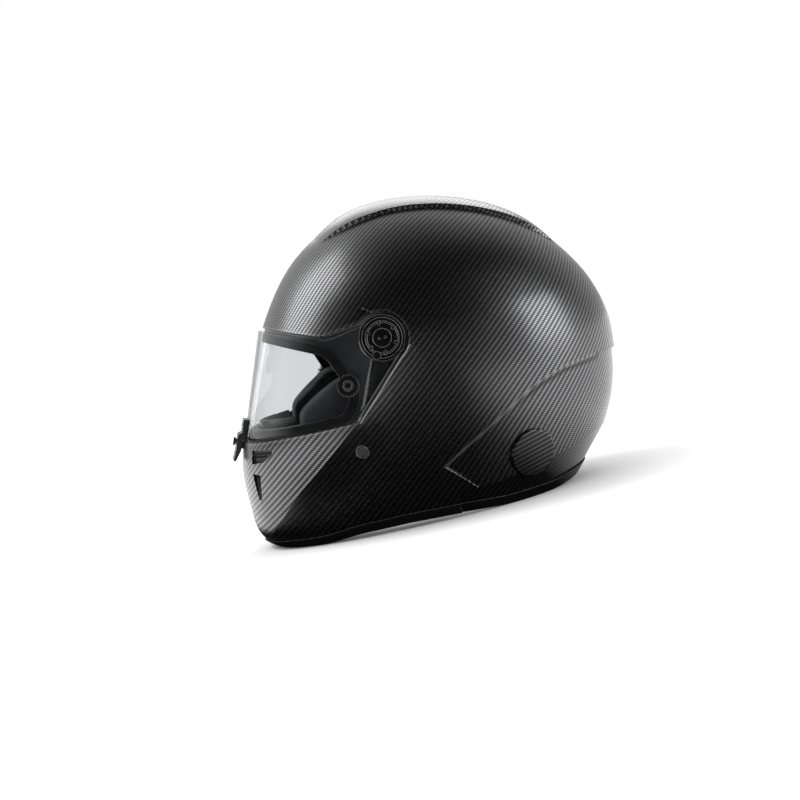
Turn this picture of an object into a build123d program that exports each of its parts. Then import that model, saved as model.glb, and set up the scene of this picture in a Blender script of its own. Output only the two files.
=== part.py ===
from build123d import *
import math
import os

# Full-face auto racing helmet, in millimetres.
# +Z is up, the eye port faces -Y, the wearer's left side is +X.
# The origin lies on the table plane under the middle of the helmet's bounding box.

os.makedirs("parts", exist_ok=True)

# Overall size
half_length = 170.2
shell_height = 263.0
half_width = 124.0
crown_y = 1.0

# Walls and clearances
wall = 4.4
layer_gap = 0.3
slip_gap = 0.05
seat_gap = 0.1
overrun = 60.0
reach = 260.0

# Egg-shaped sections of the shell's outer surface, from below the rim to the crown.
# Each row: height, front, rear, half width and place of the widest point, all as shares,
# then the fullness exponents of the front and rear halves.
level_shares = [
    (-0.083, 0.617, 0.588, 0.694, 0.012, 2.10, 2.08),
    (0.000, 0.846, 0.699, 0.782, 0.047, 2.10, 2.08),
    (0.035, 0.930, 0.743, 0.817, 0.050, 2.10, 2.08),
    (0.100, 0.965, 0.817, 0.865, 0.056, 2.12, 2.08),
    (0.205, 0.970, 0.921, 0.926, 0.065, 2.30, 2.08),
    (0.350, 0.931, 0.988, 0.980, 0.075, 2.75, 2.08),
    (0.480, 0.871, 1.000, 1.000, 0.076, 2.45, 2.08),
    (0.607, 0.784, 0.953, 0.990, 0.073, 2.33, 2.08),
    (0.720, 0.687, 0.857, 0.930, 0.062, 2.18, 2.08),
    (0.820, 0.579, 0.727, 0.814, 0.053, 2.10, 2.08),
    (0.895, 0.462, 0.576, 0.657, 0.046, 2.05, 2.05),
    (0.955, 0.311, 0.382, 0.456, 0.030, 2.00, 2.00),
    (0.990, 0.147, 0.173, 0.202, 0.013, 2.00, 2.00),
    (0.9985, 0.053, 0.065, 0.079, 0.006, 2.00, 2.00),
]
ring_points = 16
rim_sections = 8

# Tucked-in lower rear, below the lip
lip_level = 41.8
lip_reach = 147.8
lip_half_width = 118.0
tuck_slope = 0.90
tuck_centre_y = 10.0

# Raised crown panel: height and plan outline, as (half width, y) places
ridge_height = 3.6
ridge_sink = 1.5
ridge_half_width = 49.0
ridge_front = -72.0
ridge_rear = 147.0
ridge_shares = [
    (0.58, -0.94), (0.82, -0.78), (0.93, -0.60), (0.965, -0.34), (0.99, -0.08),
    (0.98, 0.15), (0.93, 0.38), (0.85, 0.60), (0.72, 0.80), (0.45, 0.94),
]
ridge_rise_length = 40.0
ridge_floor_level = 150.0

# Recessed rear panel, as side-view places
panel_depth = 2.4
panel_fade_low = 12.0
panel_fade_high = 42.0
panel_tip = (-6.0, 44.5)
panel_upper = [(31.0, 65.5), (62.0, 83.0), (84.0, 94.0), (108.0, 100.5), (140.0, 103.0)]
panel_rear = (190.0, 99.0)
panel_low_rear = (190.0, -30.0)
panel_low_front = (40.0, -1.0)

# Visor pivot and the tilt of the visor's sheet
pivot_y = -33.5
pivot_z = 158.8
visor_tilt = 21.0
visor_sheet = 3.0
visor_side_x = 116.5
visor_front_reach = 93.2
visor_front_radius = 150.0
visor_corner_radius = 84.0
visor_seat_gap = 2.2
ear_radius = 18.0
seat_margin = 3.0
visor_open = 45.0
ear_sweep_radius = 28.0
ear_sweep_margin = 1.2
ear_sweep_clear = 0.5

# Visor outline in the pivot's frame: forward, then up along the tilted sheet
visor_rear_low = (10.5, -67.5)
visor_front_low = (97.0, -103.2)
visor_front_top = (97.0, -10.8)
visor_brow = (46.0, -9.8)
visor_ear_front = (15.0, 8.0)
visor_ear_rear = (-17.2, -4.5)
visor_rear_low_radius = 24.0
visor_brow_radius = 40.0
visor_ear_corner_radius = 3.0

# Eye port outline in the pivot's frame
port_points = [(118.0, -15.5), (41.0, -20.0), (15.5, -48.0), (19.0, -67.5), (118.0, -109.0)]
port_radii = [1.0, 20.0, 14.0, 13.0, 1.0]

# Rim line of the lower edge, side view, at the underside of the trim
rim_points = [
    (-230.0, 0.0), (-112.0, 0.0), (-84.0, 4.2), (-44.0, 5.0), (2.0, 3.2),
    (42.0, 0.0), (84.0, 0.0), (116.0, 4.5), (230.0, 20.0),
]
rim_blend_radius = 110.0
trim_base = 2.2
trim_lip = 1.6
trim_height = 8.0
trim_clear = 0.15
gasket_lip = 1.2
gasket_inside = 1.8
gasket_outside = 6.0

# Pivot hardware: heights run outward from the seat or from the visor's ear
hub_radius = 7.0
base_plate_radius = 10.5
base_plate_gap = 1.0
knob_radius = 19.0
knob_thickness = 4.8
knob_gap = 0.3
knob_rim_radius = 16.4
knob_rim_step = 0.9
knob_ring_radius = 12.2
knob_ring_width = 1.4
knob_ring_height = 0.7
knob_notch_width = 1.8
knob_notch_length = 3.4
knob_notch_depth = 0.6
knob_notch_count = 6
hub_cap_radius = 7.5
hub_cap_thickness = 1.8
hub_cap_shank_radius = 3.0
hub_cap_shank = 4.0
spanner_hole_radius = 0.9
spanner_hole_place = 2.6
spanner_hole_depth = 0.8
lock_radius = 3.2
lock_place_radius = 14.9
lock_place_angle = -120.0
lock_floor = 1.2
lock_travel = 0.8
lock_proud = 0.4

# Tear-off posts on the visor
post_forward = 20.4
post_up = -42.0
post_radius = 9.2
post_height = 5.0
post_gap = 0.2
post_shank_radius = 2.6
post_bore_radius = 1.4
post_notch_count = 16
post_notch_radius = 0.9
post_slot_radius = 4.2
post_slot_width = 1.4
post_slot_depth = 0.7
post_screw_radius = 4.0
post_screw_head = 0.5
post_screw_length = 5.5

# Chin vents, outlined as (rearward, up) places on the left of the chin
vent_place = (60.0, 76.0)
vent_points = [(-10.5, 12.8), (21.0, 12.0), (18.5, 7.6), (6.0, 2.6), (-15.4, 1.2)]
vent_radii = [1.5, 1.5, 3.0, 5.0, 1.5]
slot_points = [(-17.4, -7.0), (-4.0, -8.0), (-17.4, -30.4), (-22.3, -30.4)]
slot_radii = [1.2, 1.5, 1.0, 1.0]
vent_depth = 12.0
duct_depth = 32.0
mesh_setback = 1.9
mesh_thickness = 1.4
mesh_hole_radius = 1.05
mesh_pitch = 2.9
mesh_rim = 1.6

# Chin side ports with their plugs
port_place = (-69.0, 72.4)
port_ring_radius = 5.6
port_ring_proud = 0.6
port_bore_radius = 4.3
port_sink = 4.2
plug_proud = 0.4
plug_edge = 0.3

# Anchor covers on the rear panel, over threaded inserts in a thick pad of the shell
anchor_place = (68.2, 37.7)
cover_radius = 20.0
cover_proud = 2.4
cover_sink = 2.2
pad_radius = 24.0
pad_depth = 8.0
cover_edge = 0.6
insert_radius = 5.0
insert_bore_radius = 2.5

# Crown vent holes at the foot of the raised panel, as y places
crown_hole_places = [32.5, 80.0, 121.0]
crown_hole_radius = 1.5
crown_hole_lift = 1.6

# Front tab on the visor and its strike on the chin, in the pivot's frame
tab_half_width = 15.0
tab_top = -86.0
tab_step = -97.5
tab_low = -112.5
tab_thin = 2.6
tab_thick = 5.6
tab_back = 94.6
tab_back_level = -103.8
tab_tip_level = -122.0
tab_tail_thickness = 1.8
tab_tail_rise = 2.0
tab_button_level = -106.0
tab_button_head_radius = 3.6
tab_button_neck_radius = 2.4
tab_button_head = 2.0
tab_button_neck = 1.1
tab_button_travel = 0.8
tab_button_depth = 2.0
tab_screw_radius = 1.6
tab_screw_spread = 9.0
tab_screw_level = -91.5
tab_screw_proud = 0.4
tab_screw_bite = 2.0
strike_half_width = 6.0
strike_half_height = 3.0
strike_level = -108.2
strike_back = 90.6
strike_gap = 0.4

# Head cavity of the foam liner, and the fabric lining inside it
cavity_half_width = 84.0
cavity_half_length = 104.0
cavity_centre_y = 12.0
cavity_waist = 122.0
cavity_top = 229.0
lining_thickness = 9.0
crown_pad_level = 180.0
side_lining_low = 113.0
side_lining_front = -58.0

# Foam liner, cheek pads, chin liner, breath guard and neck roll
liner_low = 47.5
liner_port_margin = 9.0
cheek_points = [(-112.0, 14.0), (-112.0, 113.0), (-72.0, 138.0), (-4.0, 122.0), (-4.0, 14.0)]
cheek_radii = [6.0, 10.0, 10.0, 8.0, 6.0]
face_half_width = 66.0
face_half_length = 128.0
pad_gap = 0.5
chin_liner_rear = -113.0
chin_liner_low = 14.0
chin_liner_high = 88.0
chin_room_half_width = 74.0
chin_room_front = -137.0
guard_room_half_width = 80.0
guard_room_front = -141.0
guard_thickness = 2.4
guard_high = 108.0
neck_bore_half_width = 80.0
neck_bore_half_length = 92.0
neck_bore_centre_y = 8.0
neck_roll_low = 13.0
neck_roll_high = 45.5
neck_roll_front = 28.5

# Chin straps, between the cheek pads and the neck roll; paths are (x, z) places
strap_y = 12.0
strap_width = 20.0
strap_thickness = 2.0
strap_wall_gap = 0.5
strap_room_half = 14.5
strap_room_high = 86.0
strap_top_level = 80.0
strap_turn_level = 54.0
strap_left_end = (90.0, 40.0)
strap_right_end = (86.0, 11.0)
strap_return_share = 0.48
strap_return_gap = 3.6
strap_bend_radius = 12.0
anchor_level = 71.0
anchor_plate = 1.6
anchor_plate_half = 8.0
rivet_radius = 2.5
rivet_head_radius = 4.5
rivet_head = 1.2
rivet_bite = 2.4
ring_thickness = 3.0
ring_bar = 3.0
ring_half_width = 11.0
ring_drop = 17.0
ring_spacing = 4.8
ring_corner_radius = 5.0
ring_slot_radius = 2.4
loop_wall = 1.6
snap_radius = 6.0
snap_height = 1.6
snap_back_radius = 4.5
snap_shank_radius = 2.0
snap_place_share = 0.6

side_plane = Plane(origin=(0, 0, 0), x_dir=(0, 1, 0), z_dir=(1, 0, 0))
tilt = math.radians(visor_tilt)
forward = Vector(0, -math.cos(tilt), math.sin(tilt))
upward = Vector(0, math.sin(tilt), math.cos(tilt))
pivot_plane = Plane(origin=(0, pivot_y, pivot_z), x_dir=forward, z_dir=(-1, 0, 0))


def outline(points, radii):
    """Closed face through points with one corner radius each."""
    return make_face(FilletPolyline(*points, radius=radii, close=True).edges())


def across(face, plane=side_plane):
    """Prism of a side-view face through the whole helmet."""
    return extrude(plane * face, amount=reach, both=True)


def grown(face, amount):
    return offset(face, amount=amount) if amount else face


def biggest(shape):
    """The largest solid of a cut or joined shape."""
    return max(shape.solids(), key=lambda solid: solid.volume)


def section_point(level, angle):
    """Point of one section of the egg at a turn angle from +X towards +Y."""
    height_share, front_share, rear_share, width_share, widest_share, front_full, rear_full = level
    widest = widest_share * half_length
    turn_x = math.cos(angle)
    turn_y = math.sin(angle)
    full = rear_full if turn_y > 0 else front_full
    depth = rear_share * half_length - widest if turn_y > 0 else front_share * half_length + widest
    x = width_share * half_width * math.copysign(abs(turn_x) ** (2 / full), turn_x)
    y = widest + depth * math.copysign(abs(turn_y) ** (2 / full), turn_y)
    return Vector(x, y, height_share * shell_height)


def egg(offset_out, lift=None, count=None):
    """Egg-shaped solid whose surface stands offset_out outside the shell's; lift adds more by place.
    A count keeps only that many of the lowest sections, with a flat top."""
    grid = []
    for level in level_shares[:count]:
        grid.append([section_point(level, 2 * math.pi * k / ring_points) for k in range(ring_points)])
    last = len(grid) - 1
    rings = []
    for i, ring in enumerate(grid):
        places = []
        for k, place in enumerate(ring):
            rise = grid[min(i + 1, last)][k] - grid[max(i - 1, 0)][k]
            run = ring[(k + 1) % ring_points] - ring[k - 1]
            normal = run.cross(rise)
            if i == 0 or (count and i == last):
                normal = Vector(normal.X, normal.Y, 0)
            out = offset_out + (lift(place) if lift else 0)
            places.append(place + normal.normalized() * out)
        rings.append(Wire([Edge.make_spline(places, periodic=True)]))
    if not count:
        top = Vector(0, crown_y, shell_height)
        rings.append(Vertex(0, crown_y, shell_height + offset_out + (lift(top) if lift else 0)))
    return Solid.make_loft(rings)


def section_at(height):
    """Section values at a height, between the two nearest rows."""
    share = height / shell_height
    for low, high in zip(level_shares, level_shares[1:]):
        if low[0] <= share <= high[0]:
            blend = (share - low[0]) / (high[0] - low[0])
            return [a + (b - a) * blend for a, b in zip(low, high)]
    return list(level_shares[-1])


def side_x(y, z):
    """Half width of the egg at a place of the side view."""
    share, front, rear, width, widest, front_full, rear_full = section_at(z)
    centre = widest * half_length
    full = rear_full if y > centre else front_full
    span = rear * half_length - centre if y > centre else front * half_length + centre
    ratio = min(abs(y - centre) / span, 1)
    return width * half_width * (1 - ratio ** full) ** (1 / full)


def side_frame(y, z, sink=0.0):
    """Plane on the left side of the egg at a side-view place, with its z axis out of the surface."""
    step = wall / 4
    slope_y = (side_x(y + step, z) - side_x(y - step, z)) / (2 * step)
    slope_z = (side_x(y, z + step) - side_x(y, z - step)) / (2 * step)
    normal = Vector(1, -slope_y, -slope_z).normalized()
    place = Vector(side_x(y, z), y, z) - normal * sink
    level_dir = Vector(0, 0, 1).cross(normal).normalized()
    return Plane(origin=place, x_dir=level_dir, z_dir=normal)


def tuck_core(offset_out):
    """Cone inside the tucked-in lower rear."""
    drop = lip_level + overrun
    rings = []
    for level, inward in [(lip_level + overrun, -tuck_slope * overrun), (-overrun, tuck_slope * drop)]:
        semi_x = lip_half_width + offset_out - inward * lip_half_width / half_length
        semi_y = lip_reach - tuck_centre_y + offset_out - inward
        rings.append(Pos(0, tuck_centre_y, level) * Ellipse(semi_x, semi_y).face().outer_wire())
    return Solid.make_loft(rings, ruled=True)


def tuck_cut(offset_out):
    """What lies outside the tucked-in lower rear, below the lip."""
    top = lip_level - offset_out
    block = Pos(0, reach / 2, (top - overrun) / 2) * Box(2 * reach, reach, top + overrun)
    return block - tuck_core(offset_out)


def ridge_lift(place):
    """Extra height of the crown panel by place along the helmet, below zero past both ends."""
    from_front = (place.Y - ridge_front) / ridge_rise_length
    from_rear = (ridge_rear - place.Y) / ridge_rise_length
    share = max(0, min(1, from_front, from_rear))
    smooth = share * share * (3 - 2 * share)
    return (ridge_height + ridge_sink) * smooth - ridge_sink


def ridge_prism(offset_out):
    """Upright prism of the crown panel's plan outline."""
    middle = (ridge_front + ridge_rear) / 2
    half = (ridge_rear - ridge_front) / 2
    left = []
    for width_share, length_share in ridge_shares:
        left.append((ridge_half_width * width_share + offset_out, middle + half * length_share))
    right = [(-x, y) for x, y in reversed(left)]
    nose = (0, ridge_front - offset_out)
    tail = (0, ridge_rear + offset_out)
    curve = Spline(nose, *left, tail, *right, periodic=True)
    face = Pos(0, 0, ridge_floor_level) * make_face(curve.edges())
    return extrude(face, amount=reach)


def panel_lift(place):
    """Depth of the rear panel by height, fading out above the rim."""
    share = max(0, min(1, (place.Z - panel_fade_low) / (panel_fade_high - panel_fade_low)))
    smooth = share * share * (3 - 2 * share)
    return slip_gap - (panel_depth + slip_gap) * smooth


def panel_face():
    upper = Spline(panel_tip, *panel_upper, panel_rear)
    edges = [upper, Line(panel_rear, panel_low_rear), Line(panel_low_rear, panel_low_front)]
    return make_face(Curve() + edges + [Line(panel_low_front, panel_tip)])


def visor_profile(inward):
    """Plan face inside the visor's outer surface, moved inward, in the plane square to the sheet."""
    side = visor_side_x - inward
    corner = visor_corner_radius - inward
    front = visor_front_radius - inward
    corner_x = visor_side_x - visor_corner_radius
    front_u = visor_front_reach - visor_front_radius
    spread = visor_front_radius - visor_corner_radius
    corner_u = front_u + math.sqrt(spread ** 2 - corner_x ** 2)
    turn = math.atan2(corner_x, corner_u - front_u)
    join = Vector(front * math.sin(turn), -(front_u + front * math.cos(turn)))
    half_turn = (math.pi / 2 + turn) / 2
    middle = Vector(corner_x + corner * math.sin(half_turn), -(corner_u + corner * math.cos(half_turn)))
    side_start = Vector(side, -corner_u)
    side_end = Vector(side, overrun)
    edges = [
        ThreePointArc((-join.X, join.Y), (0, -(visor_front_reach - inward)), join),
        ThreePointArc(join, middle, side_start),
        Line(side_start, side_end),
        Line(side_end, (-side, overrun)),
        Line((-side, overrun), (-side, -corner_u)),
        ThreePointArc((-side, -corner_u), (-middle.X, middle.Y), (-join.X, join.Y)),
    ]
    return make_face(Curve() + edges)


def visor_core(inward):
    """Prism inside the visor's outer surface moved inward, along the tilted sheet."""
    plane = Plane(origin=(0, pivot_y, pivot_z), x_dir=(1, 0, 0), z_dir=upward)
    return extrude(plane * visor_profile(inward), amount=reach, both=True)


def visor_x(forward_place, inward=0.0):
    """Half width of the visor's outer surface at a forward place in the pivot's frame."""
    corner = visor_corner_radius - inward
    corner_x = visor_side_x - visor_corner_radius
    spread = visor_front_radius - visor_corner_radius
    corner_u = visor_front_reach - visor_front_radius + math.sqrt(spread ** 2 - corner_x ** 2)
    if forward_place <= corner_u:
        return visor_side_x - inward
    return corner_x + math.sqrt(corner ** 2 - (forward_place - corner_u) ** 2)


def visor_face(margin=0.0):
    """Side-view face of the visor, or of its seat where a margin is given."""
    body = outline(
        [visor_ear_rear, visor_rear_low, visor_front_low, visor_front_top, visor_brow, visor_ear_front],
        [visor_ear_corner_radius, visor_rear_low_radius, visor_ear_corner_radius,
         visor_ear_corner_radius, visor_brow_radius, visor_ear_corner_radius])
    face = (body + Circle(ear_radius)).face()
    return grown(face, margin)


def port_face(margin=0.0):
    return grown(outline(port_points, port_radii), margin)


def hollow(offset_out):
    """Egg with the visor's seat, moved out by offset_out."""
    body = egg(offset_out)
    seat = across(visor_face(seat_margin - offset_out), pivot_plane)
    body -= seat - visor_core(visor_sheet + visor_seat_gap - offset_out)
    return biggest(body)


def styled():
    """Outer form of the shell with its crown panel, visor seat and rear panel."""
    body = (hollow(0) - tuck_cut(0)) + (egg(0, ridge_lift) & ridge_prism(0))
    body -= across(panel_face()) - egg(0, panel_lift)
    return biggest(body)


def front_y(x, z):
    """Front surface of the egg at a half width and a height."""
    share, front, rear, width, widest, front_full, rear_full = section_at(z)
    centre = widest * half_length
    ratio = abs(x) / (width * half_width)
    return centre - (front * half_length + centre) * (1 - ratio ** front_full) ** (1 / front_full)


def front_frame(x, z):
    """Plane on the left of the chin, x axis rearward along it and z axis out of it."""
    step = wall / 4
    slope_x = (front_y(x + step, z) - front_y(x - step, z)) / (2 * step)
    slope_z = (front_y(x, z + step) - front_y(x, z - step)) / (2 * step)
    out = Vector(slope_x, -1, slope_z).normalized()
    return Plane(origin=(x, front_y(x, z), z), x_dir=(1, slope_x, 0), z_dir=out)


def visor_place(forward_place, up_place, inward=0.0):
    """Plane on the left side of the visor's outer surface, z axis out of it."""
    x = visor_x(forward_place, inward)
    corner_x = visor_side_x - visor_corner_radius
    spread = visor_front_radius - visor_corner_radius
    corner_u = visor_front_reach - visor_front_radius + math.sqrt(spread ** 2 - corner_x ** 2)
    out = Vector(1, 0, 0)
    if forward_place > corner_u:
        out = (Vector(x - corner_x, 0, 0) + forward * (forward_place - corner_u)).normalized()
    place = Vector(x, pivot_y, pivot_z) + forward * forward_place + upward * up_place
    return Plane(origin=place, x_dir=upward.cross(out), z_dir=out)


def post(plane, radius, low, high):
    """Round solid on a plane's z axis between two heights."""
    return extrude((plane.offset(low)) * Circle(radius), amount=high - low)


def both_sides(shape):
    return [shape, mirror(shape, about=Plane.YZ)]


def below_rim(height):
    """Everything lower than the rim line raised by height."""
    points = [(y, z + height) for y, z in rim_points]
    top = FilletPolyline(*points, radius=rim_blend_radius)
    left_low = (rim_points[0][0], -overrun)
    right_low = (rim_points[-1][0], -overrun)
    edges = top.edges() + [Line(points[-1], right_low), Line(right_low, left_low), Line(left_low, points[0])]
    return across(make_face(edges))


def write(name, shape):
    """One node: its solid or group of solids goes to its own file."""
    solids = shape.solids()
    whole = solids[0] if len(solids) == 1 else Compound(children=list(solids))
    export_step(whole, os.path.join("parts", name + ".step"))


def write_pair(name, shape):
    write(name + "_left", shape)
    write(name + "_right", mirror(shape, about=Plane.YZ))


# Places shared by several pieces
ear_out = visor_side_x
ear_in = visor_side_x - visor_sheet
seat_x = ear_in - visor_seat_gap
pivot_out = Plane(origin=(0, pivot_y, pivot_z), x_dir=(0, 1, 0), z_dir=(1, 0, 0))
post_frame = visor_place(post_forward, post_up)
port_frame = side_frame(*port_place)
panel_drop = -panel_lift(Vector(0, *anchor_place))
anchor_frame = side_frame(*anchor_place, sink=panel_drop)
vent_frame = front_frame(*vent_place)
vent_face = outline(vent_points, vent_radii)
slot_face = outline(slot_points, slot_radii)
cheek_face = outline(cheek_points, cheek_radii)


def tab_point(x, out, level):
    """Plane facing forward at a place of the pivot's frame."""
    place = Vector(x, pivot_y, pivot_z) + forward * out + upward * level
    return Plane(origin=place, x_dir=(1, 0, 0), z_dir=forward)


def ridge_x(y):
    """Half width of the crown panel's outline at a place along it."""
    middle = (ridge_front + ridge_rear) / 2
    half = (ridge_rear - ridge_front) / 2
    share = (y - middle) / half
    for low, high in zip(ridge_shares, ridge_shares[1:]):
        if low[1] <= share <= high[1]:
            blend = (share - low[1]) / (high[1] - low[1])
            return ridge_half_width * (low[0] + (high[0] - low[0]) * blend)
    return 0.0


def crown_hole_frame(y):
    """Plane on the egg just outside the crown panel's edge."""
    x = ridge_x(y) + crown_hole_lift
    low, high = ridge_floor_level, shell_height
    while high - low > slip_gap:
        middle = (low + high) / 2
        if side_x(y, middle) > x:
            low = middle
        else:
            high = middle
    return side_frame(y, low)


def ear_sweep():
    """Room above the right seat for the visor's ear as it opens; its wall follows a sphere."""
    opened = Rot(0, 0, visor_open) * visor_face(ear_sweep_margin)
    face = (opened & Circle(ear_sweep_radius)) - visor_face(seat_margin)
    room = extrude(pivot_plane * face, amount=reach)
    centre_x = visor_side_x - visor_sheet - visor_corner_radius
    return room - Pos(-centre_x, pivot_y, pivot_z) * Sphere(visor_corner_radius - ear_sweep_clear)


def make_shell():
    """Carbon shell: outer form less the inner form, with its port, vents, pads and holes."""
    pads = both_sides(post(anchor_frame, pad_radius, -pad_depth, pad_depth))
    void = hollow(-wall) - tuck_cut(-wall)
    for pad in pads:
        void -= pad
    shell = styled() - void
    cuts = [across(port_face(), pivot_plane), below_rim(trim_base)]
    singles = [
        extrude(vent_frame * vent_face, amount=vent_depth, both=True),
        extrude(vent_frame * slot_face, amount=vent_depth, both=True),
        post(port_frame, port_ring_radius, -vent_depth, vent_depth),
        post(anchor_frame, cover_radius + seat_gap, -cover_sink, pad_depth),
        post(anchor_frame, insert_radius, -vent_depth, 0),
        post(anchor_screw_frame(), rivet_radius, -rivet_bite, rivet_bite),
        ear_sweep(),
    ]
    for y in crown_hole_places:
        singles.append(post(crown_hole_frame(y), crown_hole_radius, -vent_depth, vent_depth))
    for single in singles:
        cuts += both_sides(single)
    cuts.append(strike_block(0.0))
    return biggest(shell - cuts)


def anchor_screw_frame():
    """Plane on the shell's inner wall behind a strap anchor, z axis out of the helmet."""
    return side_frame(strap_y, anchor_level, sink=wall)


def strike_block(clear):
    """Latch strike let into the chin, in the pivot's frame."""
    out = tab_back - strike_gap
    plane = tab_point(0, strike_back, strike_level)
    face = Rectangle(2 * strike_half_width + 2 * clear, 2 * strike_half_height + 2 * clear)
    return extrude(plane * face, amount=out - strike_back)


def cavity(inward):
    """Head space: half an ellipsoid over an upright elliptical bore."""
    semi_x = cavity_half_width - inward
    semi_y = cavity_half_length - inward
    semi_z = cavity_top - cavity_waist - inward
    dome = scale(Sphere(1), by=(semi_x, semi_y, semi_z))
    bore = extrude(Ellipse(semi_x, semi_y), amount=-(cavity_waist + overrun))
    return Pos(0, cavity_centre_y, cavity_waist) * (dome + bore)


def slab(low, high, front=-reach, rear=reach):
    """Block across the helmet between two heights and two places along it."""
    return Pos(0, (front + rear) / 2, (low + high) / 2) * Box(2 * reach, rear - front, high - low)


def strap_room():
    """Slots left open for the straps on both sides."""
    width = 2 * strap_room_half
    return Pos(0, strap_y, (strap_room_high - overrun) / 2) * Box(2 * reach, width, strap_room_high + overrun)


def make_liner(room):
    """Foam liner over the crown, temples and back of the head."""
    liner = room - cavity(0)
    liner -= slab(-overrun, liner_low)
    liner -= slab(-overrun, cavity_waist, rear=cheek_points[2][0])
    liner -= across(port_face(liner_port_margin), pivot_plane)
    liner -= across(cheek_face)
    liner -= strap_room()
    return biggest(liner)


def make_lining():
    """Fabric-covered crown pad and the band around the temples and back."""
    skin = cavity(layer_gap) - cavity(lining_thickness)
    crown = skin - slab(-overrun, crown_pad_level)
    band = skin - slab(crown_pad_level - pad_gap, shell_height) - slab(-overrun, side_lining_low)
    band -= slab(-overrun, shell_height, rear=side_lining_front)
    band -= across(grown(cheek_face, pad_gap))
    return biggest(crown), biggest(band)


def face_core():
    return extrude(Pos(0, 0, -overrun) * Ellipse(face_half_width, face_half_length), amount=reach)


def make_cheek_pad(room):
    """Left cheek pad between the shell's side and the face."""
    pad = room & across(grown(cheek_face, -pad_gap))
    pad -= face_core()
    pad -= post(port_frame, port_ring_radius + pad_gap, -vent_depth, vent_depth)
    pad -= Pos(-reach, 0, 0) * Box(2 * reach, 2 * reach, 2 * reach)
    return biggest(pad)


def make_chin_liner(room):
    """Foam liner of the chin bar, with the air ducts of the chin vents."""
    liner = room & slab(chin_liner_low, chin_liner_high, rear=chin_liner_rear)
    inside = Ellipse(chin_room_half_width, -chin_room_front)
    liner -= extrude(Pos(0, 0, -overrun) * inside, amount=reach)
    for face in (vent_face, slot_face):
        duct = extrude(vent_frame * face, amount=duct_depth, both=True)
        liner -= both_sides(duct)
    return biggest(liner)


def make_breath_guard():
    """Flexible guard that stands on the chin liner."""
    outer = Ellipse(guard_room_half_width, -guard_room_front)
    inner = Ellipse(guard_room_half_width - guard_thickness, -guard_room_front - guard_thickness)
    guard = extrude(Pos(0, 0, chin_liner_high) * (outer - inner), amount=guard_high - chin_liner_high)
    return biggest(guard - slab(-overrun, shell_height, front=chin_liner_rear))


def make_neck_roll(room):
    """Padded roll around the back of the neck opening."""
    roll = room & slab(neck_roll_low, neck_roll_high, front=neck_roll_front)
    roll &= tuck_core(-wall - layer_gap)
    bore = Ellipse(neck_bore_half_width, neck_bore_half_length)
    return biggest(roll - extrude(Pos(0, neck_bore_centre_y, -overrun) * bore, amount=reach))


def make_trim():
    """Rubber edge trim: a channel that holds the shell's rim."""
    outside = rim_band(trim_lip) - rim_band(-wall - trim_lip)
    inside = rim_band(trim_clear) - rim_band(-wall - trim_clear)
    high = below_rim(trim_height)
    trim = (outside & high) - below_rim(0.0)
    return biggest(trim - (inside - below_rim(trim_base - trim_clear)))


def rim_band(offset_out):
    """Lower part of the outer form, with a flat top."""
    return egg(offset_out, count=rim_sections) - tuck_cut(offset_out)


def make_gasket():
    """Rubber seal: a channel that holds the edge of the eye port."""
    seat = visor_sheet + visor_seat_gap
    back = seat + wall
    body = visor_core(seat - gasket_lip) - visor_core(back + gasket_lip)
    body &= across(port_face(gasket_outside), pivot_plane)
    body -= across(port_face(-gasket_inside), pivot_plane)
    held = visor_core(seat - seat_gap) - visor_core(back + seat_gap)
    body -= held - across(port_face(-seat_gap), pivot_plane)
    return biggest(body & across(visor_face(seat_margin - layer_gap), pivot_plane))


def make_visor():
    """Clear visor: one tilted, single-curved sheet with a round ear at each end."""
    visor = (visor_core(0) - visor_core(visor_sheet)) & across(visor_face(), pivot_plane)
    visor -= extrude(pivot_out * Circle(hub_radius + slip_gap), amount=reach, both=True)
    visor -= both_sides(post(post_frame, post_shank_radius + slip_gap, -overrun / 4, overrun / 4))
    for x in (-tab_screw_spread, tab_screw_spread):
        visor -= tab_screw(x, tab_screw_radius)
    return biggest(visor)


def make_pivot_base():
    """Hub with a round foot that carries one ear of the visor."""
    foot = post(pivot_out.offset(seat_x), base_plate_radius, 0, ear_in - base_plate_gap - seat_x)
    hub = post(pivot_out, hub_radius, seat_x, ear_out + knob_gap + hub_length)
    shank = post(pivot_out, hub_cap_shank_radius, hub_top - hub_cap_shank, reach)
    return biggest(foot + hub - shank)


def make_knob():
    """Round quick-release knob with a stepped rim, a raised ring and finger notches."""
    base = pivot_out.offset(ear_out + knob_gap)
    top = knob_thickness
    knob = post(base, knob_radius, 0, top - knob_rim_step)
    knob += post(base, knob_rim_radius, 0, top)
    ring = post(base, knob_ring_radius + knob_ring_width, top, top + knob_ring_height)
    knob += ring - post(base, knob_ring_radius, 0, reach)
    knob = chamfer_top(knob)
    knob -= post(base, hub_radius + slip_gap, -knob_gap, reach)
    knob -= post(base, hub_cap_radius + seat_gap, hub_length, reach)
    for k in range(knob_notch_count):
        angle = math.radians(lock_place_angle) + math.pi * (2 * k + 1) / knob_notch_count
        place = base * Pos(knob_ring_radius * math.cos(angle), knob_ring_radius * math.sin(angle), top)
        block = Box(knob_notch_length, knob_notch_width, 2 * knob_notch_depth + 2 * knob_ring_height)
        knob -= place * Rot(0, 0, math.degrees(angle)) * block
    knob -= post(lock_frame(), lock_radius + seat_gap, lock_floor, reach)
    return biggest(knob)


def chamfer_top(knob):
    """Breaks the knob's outer rim edge."""
    rim = knob.edges().filter_by(GeomType.CIRCLE).filter_by(lambda edge: edge.radius == knob_radius)
    return chamfer(rim.sort_by(Axis.X)[-1], knob_rim_step / 2)


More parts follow.
